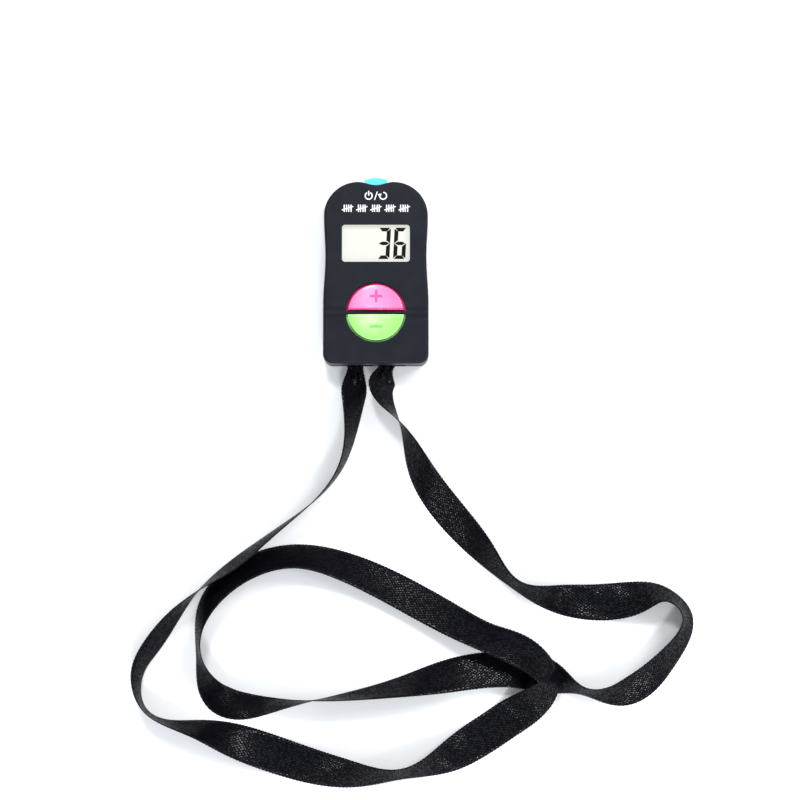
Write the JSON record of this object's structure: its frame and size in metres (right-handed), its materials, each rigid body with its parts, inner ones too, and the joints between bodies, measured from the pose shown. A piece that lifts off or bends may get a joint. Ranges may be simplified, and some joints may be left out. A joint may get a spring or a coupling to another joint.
{
  "type": "digital hand tally counter",
  "caption": "Palm-sized digital tally counter with plus and minus keys, a small display, a power key on its top end and a black neck ribbon.",
  "frame": {"origin": "centre of the case's flat back, on the surface the counter lies on", "axes": "+X to the right of the face, +Y towards the power key at the top end, +Z out of the face"},
  "size_m": [0.2002, 0.2201, 0.0156],
  "materials": {
    "case_plastic": "fine matte texture",
    "pink_plastic": "soft gloss",
    "green_plastic": "soft gloss",
    "cyan_plastic": "soft gloss",
    "clear_plastic": "clear, polished",
    "display_face": "matte film",
    "display_glass": "polished",
    "white_plastic": "moulded",
    "black_plastic": "moulded",
    "silicone": "matte",
    "board": "solder resist",
    "ceramic": "ceramic",
    "steel": "zinc plated",
    "cell_steel": "bright nickel",
    "contact_brass": "plain",
    "ribbon": "black satin ribbon, picot edge"
  },
  "bodies": {
    "counter": {"front_case": "case_plastic", "back_case": "case_plastic", "display_window": "clear_plastic", "lcd_frame": "white_plastic", "lcd_polariser": "display_face", "lcd_glass": "display_glass", "lcd_reflector": "white_plastic", "zebra_strip": "silicone", "circuit_board": "board", "board_screw_1": "steel", "board_screw_2": "steel", "case_screw_1": "steel", "case_screw_2": "steel", "case_screw_3": "steel", "case_screw_4": "steel", "chip_cover": "black_plastic", "capacitor": "ceramic", "resistor": "black_plastic", "plus_switch": "black_plastic", "minus_switch": "black_plastic", "power_switch": "black_plastic", "battery_cell": "cell_steel", "battery_positive_contact": "contact_brass", "battery_negative_contact": "contact_brass", "strap": "ribbon", "strap_knot_left": "ribbon", "strap_knot_right": "ribbon"},
    "plus_key": {"plus_button": "pink_plastic", "plus_plunger": "white_plastic"},
    "minus_key": {"minus_button": "green_plastic", "minus_plunger": "white_plastic"},
    "power_key": {"power_button": "cyan_plastic", "power_plunger": "white_plastic"},
    "door": {"battery_door": "case_plastic"}
  },
  "joints": [
    {"name": "plus_press", "type": "slide", "parent": "counter", "child": "plus_key", "axis": [0, 0, -1], "range_m": [0, 0.0006], "stiffness_N_per_m": 1500, "springref_m": -0.0004},
    {"name": "minus_press", "type": "slide", "parent": "counter", "child": "minus_key", "axis": [0, 0, -1], "range_m": [0, 0.0006], "stiffness_N_per_m": 1500, "springref_m": -0.0004},
    {"name": "power_press", "type": "slide", "parent": "counter", "child": "power_key", "axis": [0, -1, 0], "range_m": [0, 0.0007], "stiffness_N_per_m": 1200, "springref_m": -0.0004},
    {"name": "door_slide", "type": "slide", "parent": "counter", "child": "door", "axis": [0, -1, 0], "range_m": [0, 0.004]}
  ]
}
